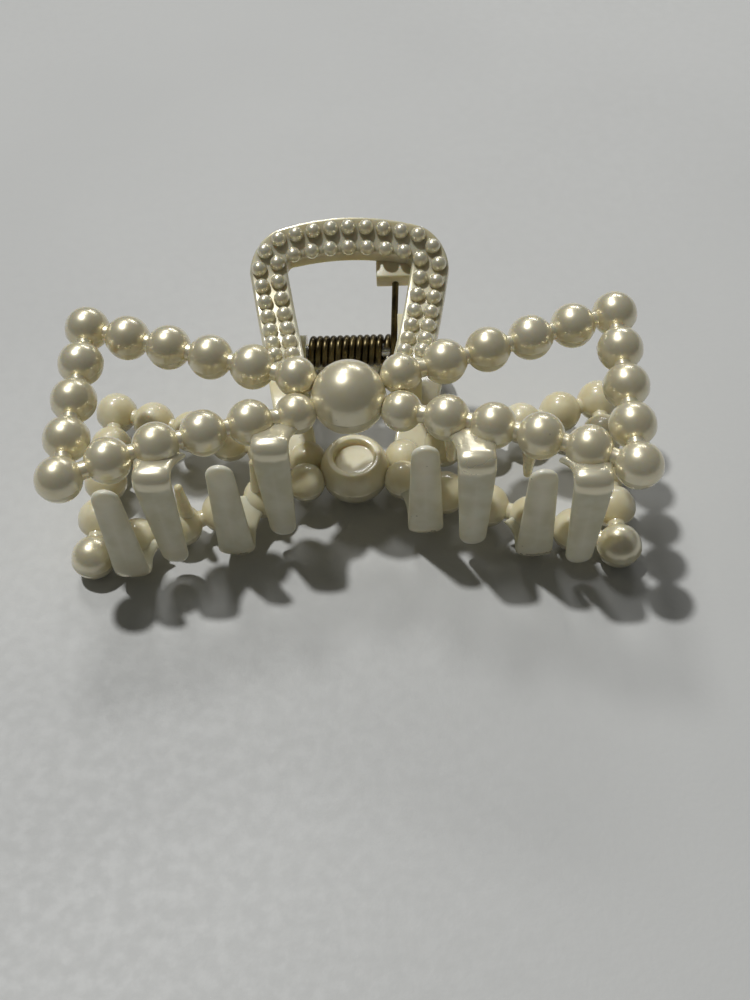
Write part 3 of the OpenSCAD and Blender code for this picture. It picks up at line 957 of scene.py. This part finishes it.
def bar_section(width):
    """Points round the bar: distance in from the outer edge, and depth."""
    section = []
    r = EDGE_ROUND
    corners = ((r, r, 180), (width - r, r, 270), (width - r, BAR_T - r, 0), (r, BAR_T - r, 90))
    for cx, cy, first in corners:
        for k in range(ROUND_STEPS + 1):
            a = math.radians(first + 90 * k / ROUND_STEPS)
            section.append((cx + r * math.cos(a), cy + r * math.sin(a)))
    full = []
    for k, (u, v) in enumerate(section):
        full.append((u, v))
        nu, nv = section[(k + 1) % len(section)]
        gap = math.hypot(nu - u, nv - v)
        parts = BAR_STEPS if gap > 2 * r + 0.6 else 1
        full += [(u + (nu - u) * p / parts, v + (nv - v) * p / parts) for p in range(1, parts)]
    return full


def finger_loop(bm):
    rings = []
    for (ox, oy), (wx, wy) in zip(both_sides(arch_side(True)), both_sides(arch_side(False))):
        width = math.hypot(wx - ox, wy - oy)
        ring = []
        for u, depth in bar_section(width):
            share = u / width
            ring.append(bm.verts.new(curled(ox + (wx - ox) * share, oy + (wy - oy) * share, depth)))
        rings.append(ring)
    skin(bm, rings)
    cap(bm, rings)


def finger_loop_mesh():
    mesh = shell(finger_loop)
    co = points_of(mesh)
    normals = np.array([v.normal for v in mesh.vertices])
    hollow = np.hypot(co[:, 1] - CURL_Y, co[:, 2] - CURL_Z)
    paint(mesh, "outward", (CURL_R + HOLLOW_EDGE - hollow) * 2)
    # Painted shade: points of the hollow face close round each seed pearl are marked for darkening.
    gap = np.min([np.hypot(co[:, 0] - x, co[:, 1] - y) for x, y in seed_places], axis=0)
    crevice_shade = np.clip(1 - (gap - SEED_R * 0.85) / CREVICE_WIDTH, 0, 1)
    paint(mesh, "crevice_shade", crevice_shade * (hollow < CURL_R + 0.3))
    return mesh


loop_material = pearl_finish(
    "loop_lacquer", LOOP_COATED, LOOP_COATED_DEEP, edge=-0.3, peel=1000.0, shine=0.3
)
tree = loop_material.node_tree
shader = tree.nodes["Principled BSDF"]
colour = shader.inputs["Base Color"].links[0].from_socket
# Painted shade darkens the hollow face in the crevices round the seed pearls.
crevice_shade = ramp(tree, painted_value(tree, "crevice_shade"), 0.1, 1.0, 0.0, 0.6)
feed(tree, shader, "Base Color", mixed(tree, crevice_shade, colour, CREVICE_SHADE))

for jaw in JAWS:
    piece(
        f"{jaw}_finger_loop", finger_loop_mesh(), placed[jaw], f"{jaw}_jaw", loop_material,
        crease=40.0,
    )


# ---------------------------------------------------------------------------
# Seed pearls. Two rows of small round beads moulded onto the hollow face of
# each finger loop, each standing about two thirds of its height out of it.
SEED_SIDES = 28
SEED_RINGS = 11
SEED_SKIRT = 0.35
SEED_COATED = (0.86, 0.82, 0.66)
SEED_COATED_DEEP = (0.79, 0.73, 0.55)


def seeds(bm):
    for x, y in seed_places:
        seat = curled(x, y)
        up = Vector((0, CURL_Y - y, CURL_Z - seat.z)).normalized()
        centre = seat + Vector((0, 0, SEED_LIFT))
        sink = (centre - seat).dot(up) + SEED_SKIRT
        lowest = -math.asin(sink / SEED_R)
        profile = [(0.0, SEED_R)]
        for k in range(1, SEED_RINGS + 1):
            a = math.pi / 2 + (lowest - math.pi / 2) * k / SEED_RINGS
            profile.append((SEED_R * math.cos(a), SEED_R * math.sin(a)))
        place = Matrix.Translation(centre) @ up.to_track_quat("Z", "Y").to_matrix().to_4x4()
        turned(bm, profile, place, SEED_SIDES)


def seeds_mesh():
    mesh = shell(seeds)
    paint(mesh, "outward", np.ones(len(mesh.vertices)))
    return mesh


seed_material = pearl_finish(
    "seed_lacquer", SEED_COATED, SEED_COATED_DEEP, edge=-0.5, peel=1800.0, shine=0.5
)
for jaw in JAWS:
    piece(
        f"{jaw}_seed_pearls", seeds_mesh(), placed[jaw], f"{jaw}_jaw", seed_material,
    )


# ---------------------------------------------------------------------------
# Spring seats. A small block under one inner corner of each finger loop, with
# a pocket that the straight end of the spring slides into.
SEAT = Vector((6.6, 4.6, 3.4))
SEAT_Y = LOOP_REACH - BAR_END_W - 2.9
SEAT_INNER_X = 4.9
SEAT_DROP = 1.6
SEAT_TIP = math.radians(12)
SEAT_ROUND = 0.3


def spring_seat(bm):
    corner = curled(SEAT_INNER_X, SEAT_Y) - Vector((0, 0, SEAT_DROP + SEAT.z))
    place = Matrix.Translation(corner) @ Matrix.Rotation(SEAT_TIP, 4, "X")
    block = Matrix.Diagonal((*SEAT, 1)) @ Matrix.Translation((0.5, 0.5, 0.5))
    bmesh.ops.create_cube(bm, size=1.0, matrix=place @ block)
    bmesh.ops.bevel(
        bm, geom=list(bm.edges), offset=SEAT_ROUND, segments=4, profile=0.5, affect="EDGES"
    )


for jaw in JAWS:
    piece(
        f"{jaw}_spring_seat", shell(spring_seat), placed[jaw], f"{jaw}_jaw", bare_material,
        crease=60.0,
    )


# ---------------------------------------------------------------------------
# Knuckles. Two plates stand up from the foot of each finger loop and carry
# the hinge pin. The inner plate of one jaw turns beside the outer of the other.
for jaw in JAWS:
    plates = frame["nodes"][f"{jaw}_knuckles"]
    plates.data.materials.clear()
    plates.data.materials.append(bare_material)


# ---------------------------------------------------------------------------
# Hinge pin. A length of drawn steel wire through all four knuckles and the
# coil, with its two ends upset into low round heads.
PIN_R = 1.2
PIN_HEAD_R = 1.9
PIN_HEAD_T = 0.6
PIN_HEAD_ROUND = 0.3
PIN_HEAD_STEPS = 5
PIN_EDGE = 0.05
PIN_SIDES = 40

steel, tree, shader = new_material("drawn_steel")
where = add(tree, "ShaderNodeTexCoord").outputs["Object"]
stretched = add(tree, "ShaderNodeMapping", {"Vector": where, "Scale": (60.0, 4000.0, 4000.0)})
drawn = noise(tree, 1.0, 3.0, stretched.outputs["Vector"])
feed(tree, shader, "Base Color", mixed(tree, drawn, (0.50, 0.49, 0.46), (0.62, 0.61, 0.57)))
feed(tree, shader, "Roughness", ramp(tree, drawn, 0.3, 0.7, 0.24, 0.4))
shader.inputs["Metallic"].default_value = 1.0
roughen(tree, shader, drawn, 0.15, 0.0001)

pin_low, pin_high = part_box("hinge_pin")
pin_half = (pin_high.x - pin_low.x) / 2 / MM


def hinge_pin(bm):
    neck = pin_half - PIN_HEAD_T
    half = [(0.0, pin_half)]
    for k in range(1, PIN_HEAD_STEPS + 1):
        a = math.radians(90 - 90 * k / PIN_HEAD_STEPS)
        half.append((
            PIN_HEAD_R - PIN_HEAD_ROUND * (1 - math.cos(a)),
            pin_half - PIN_HEAD_ROUND * (1 - math.sin(a)),
        ))
    half += [(PIN_HEAD_R, neck + PIN_EDGE), (PIN_HEAD_R - PIN_EDGE, neck)]
    half += [(PIN_R + PIN_EDGE, neck), (PIN_R, neck - 2 * PIN_EDGE)]
    middle = [(PIN_R, z) for z in (6.0, 2.0, -2.0, -6.0)]
    profile = half + middle + [(r, -z) for r, z in reversed(half)]
    turned(bm, profile, Matrix.Rotation(math.pi / 2, 4, "Y"), PIN_SIDES)


piece("hinge_pin", shell(hinge_pin), placed["upper"], "lower_jaw", steel, crease=40.0)


# ---------------------------------------------------------------------------
# Torsion spring. One wire, plated dark bronze and worn lighter in patches. The
# coil sits round the pin; one straight end pushes on each jaw.
WIRE_R = 0.625
COIL_R = 3.0 - WIRE_R
TURNS = 11
TURN_PITCH = 2 * WIRE_R + 0.025
END_GAP = 0.25
SPRING_ANGLE = math.radians(45)
SPRING_END = 14.6
END_SWEEP = math.radians(350)
WIRE_SIDES = 14
COIL_STEPS = 44
SPRING_LEAN = math.radians(3)
COIL_CLOSE = 0.22
COIL_TIGHTER = 0.013
LEG_RINGS = 12

PLATED = (0.075, 0.060, 0.033)
PLATED_WORN = (0.17, 0.135, 0.065)
WIRE_BRIGHT = (0.30, 0.25, 0.13)

end_turn_x = (TURNS * TURN_PITCH + 2 * WIRE_R + END_GAP + 2 * WIRE_R) / 2 - WIRE_R
coil_pitch = TURN_PITCH - COIL_TIGHTER


def tube(bm, path, radius):
    """A round wire along a path of points, cut square at its ends."""
    rings = []
    before = [path[0]] + path[:-1]
    after = path[1:] + [path[-1]]
    along = [(b - a).normalized() for a, b in zip(before, after)]
    side = along[0].orthogonal().normalized()
    for point, forward in zip(path, along):
        side = (side - forward * side.dot(forward)).normalized()
        other = forward.cross(side)
        ring = []
        for s in range(WIRE_SIDES):
            a = 2 * math.pi * s / WIRE_SIDES
            ring.append(bm.verts.new(point + (side * math.cos(a) + other * math.sin(a)) * radius))
        rings.append(ring)
    skin(bm, rings)
    cap(bm, rings)


def coil_point(x, angle):
    return Vector((x, COIL_R * math.cos(angle), COIL_R * math.sin(angle)))


def coil(bm):
    path = []
    for k in range(TURNS * COIL_STEPS + 1):
        turn = k / COIL_STEPS
        angle = -SPRING_ANGLE - math.pi / 2 - 2 * math.pi * turn
        path.append(coil_point(-end_turn_x - COIL_CLOSE + turn * coil_pitch, angle))
    tube(bm, path, WIRE_R)


def straight_end():
    """The straight end's points, from where it leaves the coil to its tip."""
    start = coil_point(end_turn_x, SPRING_ANGLE + math.pi / 2)
    way = Vector((0, math.cos(SPRING_ANGLE), math.sin(SPRING_ANGLE)))
    way = Vector((math.sin(SPRING_LEAN), *(way * math.cos(SPRING_LEAN)).yz))
    return [start + way * SPRING_END * k / LEG_RINGS for k in range(LEG_RINGS + 1)]


def upper_end(bm):
    path = []
    for k in range(COIL_STEPS + 1):
        turn = (1 - k / COIL_STEPS) * END_SWEEP / (2 * math.pi)
        angle = SPRING_ANGLE + math.pi / 2 + 2 * math.pi * turn
        path.append(coil_point(end_turn_x - turn * coil_pitch, angle))
    tube(bm, path + straight_end()[1:], WIRE_R)


wire, tree, shader = new_material("bronzed_wire")
where = add(tree, "ShaderNodeTexCoord").outputs["Object"]
patch = noise(tree, 420.0, 4.0, where)
fine = noise(tree, 2600.0, 3.0, where)
dark = mixed(tree, ramp(tree, patch, 0.35, 0.65), PLATED, PLATED_WORN)
flecks = ramp(tree, fine, 0.55, 0.8, 0.0, 0.5)
feed(tree, shader, "Base Color", mixed(tree, flecks, dark, WIRE_BRIGHT))
shader.inputs["Metallic"].default_value = 1.0
feed(tree, shader, "Roughness", ramp(tree, patch, 0.3, 0.7, 0.28, 0.42))
roughen(tree, shader, fine, 0.25, 0.00005)

piece("spring_coil", shell(coil), placed["upper"], "lower_jaw", wire, crease=60.0)
piece(
    "spring_lower_end", shell(lambda bm: tube(bm, straight_end(), WIRE_R)), placed["lower"],
    "lower_jaw", wire, crease=60.0,
)
piece(
    "spring_upper_end", shell(upper_end), placed["upper"], "upper_jaw", wire,
    crease=60.0,
)
